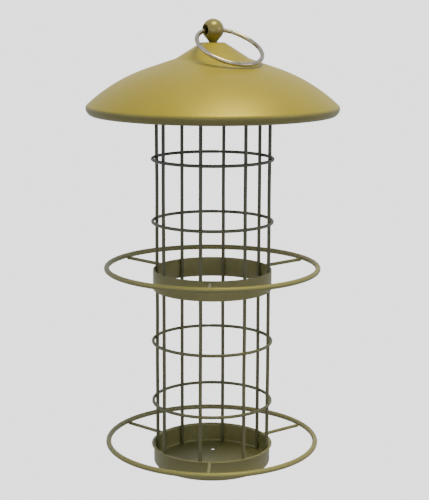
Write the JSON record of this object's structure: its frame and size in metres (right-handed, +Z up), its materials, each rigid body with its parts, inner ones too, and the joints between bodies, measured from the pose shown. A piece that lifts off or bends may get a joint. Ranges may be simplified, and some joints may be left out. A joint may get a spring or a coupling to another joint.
{
  "type": "hanging fat ball bird feeder",
  "caption": "Hanging wire-cage fat ball feeder with a domed lift-off lid, a feeding band, a drained tray, perch rings on spokes and a swinging hanging ring.",
  "frame": {"origin": "on the cage's axis at the underside of the tray, which is the lowest face", "axes": "+Z up along the cage, -Y towards the front spokes of both perch rings, +X to the right of someone facing the front"},
  "size_m": [0.1552, 0.1552, 0.281],
  "materials": {
    "cage_coat": "satin olive gold powder coat on steel wire and sheet",
    "lid_coat": "satin olive gold powder coat on pressed steel",
    "zinc_steel": "zinc plated",
    "spring_steel": "plain spring steel strip",
    "ring_wire": "nickel plated wire"
  },
  "bodies": {
    "cage": {"cage_wire_1": "cage_coat", "cage_wire_2": "cage_coat", "cage_wire_3": "cage_coat", "cage_wire_4": "cage_coat", "cage_wire_5": "cage_coat", "cage_wire_6": "cage_coat", "cage_wire_7": "cage_coat", "cage_wire_8": "cage_coat", "cage_top_ring": "cage_coat", "hoop_1": "cage_coat", "hoop_2": "cage_coat", "hoop_3": "cage_coat", "hoop_4": "cage_coat", "feeding_band": "cage_coat", "tray": "cage_coat", "upper_perch_ring": "cage_coat", "upper_spoke_1": "cage_coat", "upper_spoke_2": "cage_coat", "upper_spoke_3": "cage_coat", "lower_perch_ring": "cage_coat", "lower_spoke_1": "cage_coat", "lower_spoke_2": "cage_coat", "lower_spoke_3": "cage_coat"},
    "lid": {"lid_shell": "lid_coat", "finial_ball": "lid_coat", "finial_washer": "zinc_steel", "finial_screw": "zinc_steel", "lid_spring_clip": "spring_steel"},
    "ring": {"hanging_ring": "ring_wire"}
  },
  "joints": [
    {"name": "lid_lift", "type": "slide", "parent": "cage", "child": "lid", "axis": [0, 0, 1], "range_m": [0, 0.095], "deforming": ["lid_spring_clip"]},
    {"name": "ring_swing", "type": "hinge", "parent": "lid", "child": "ring", "pos_m": [0, 0, 0.2744], "axis": [-0.8111, -0.585, 0], "range_deg": [0, 237]}
  ]
}
